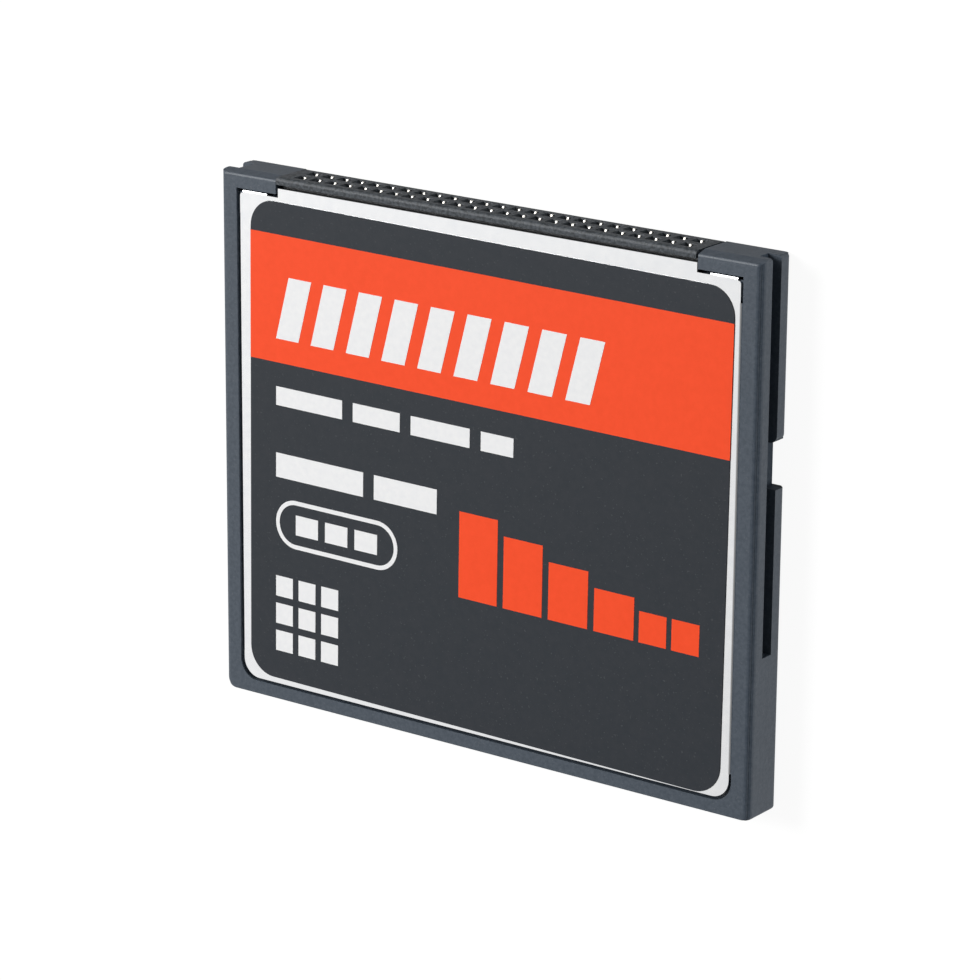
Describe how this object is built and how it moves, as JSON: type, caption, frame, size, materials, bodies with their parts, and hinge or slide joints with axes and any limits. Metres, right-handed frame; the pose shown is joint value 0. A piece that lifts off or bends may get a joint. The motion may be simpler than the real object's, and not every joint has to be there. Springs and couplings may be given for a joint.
{
  "type": "compact flash card",
  "caption": "Flat memory card: moulded frame with guide grooves, stamped steel covers, board inside and a socket connector along one end.",
  "frame": {"origin": "middle of the plain side's face, where the card rests", "axes": "+X to the right as the label reads, +Y towards the socket end, +Z out of the label side"},
  "size_m": [0.0428, 0.0364, 0.0033],
  "materials": {
    "frame_plastic": "fine matte moulded grain",
    "cover_steel": "fine satin rolled finish",
    "insulating_film": "clear amber film",
    "connector_plastic": "fine matte moulded grain",
    "contact_alloy": "thin gold flash over a spring alloy",
    "board_laminate": "satin solder mask",
    "chip_plastic": "moulded package",
    "lead_tin": "tinned",
    "crystal_ceramic": "fired, unglazed",
    "crystal_metal": "plated lid",
    "tantalum_plastic": "moulded block",
    "capacitor_ceramic": "fired, unglazed",
    "resistor_ceramic": "glass-coated top",
    "label_film": "satin printed film",
    "ink_orange": "satin ink",
    "ink_pale": "satin ink"
  },
  "bodies": {
    "root": {"frame": "frame_plastic", "label_cover": "cover_steel", "plain_cover": "cover_steel", "label_side_film": "insulating_film", "plain_side_film": "insulating_film", "connector_housing": "connector_plastic", "contacts_label_row": "contact_alloy", "contacts_plain_row": "contact_alloy", "circuit_board": "board_laminate", "controller_chip": "chip_plastic", "controller_leads": "lead_tin", "memory_chip": "chip_plastic", "memory_leads": "lead_tin", "regulator_body": "chip_plastic", "regulator_leads": "lead_tin", "crystal_case": "crystal_ceramic", "crystal_lid": "crystal_metal", "tantalum_capacitor": "tantalum_plastic", "capacitor_bodies": "capacitor_ceramic", "capacitor_ends": "lead_tin", "resistor_bodies": "resistor_ceramic", "resistor_ends": "lead_tin", "label_sheet": "label_film", "print_band": "ink_orange", "print_pale": "ink_pale", "print_bright": "ink_orange"}
  },
  "joints": []
}
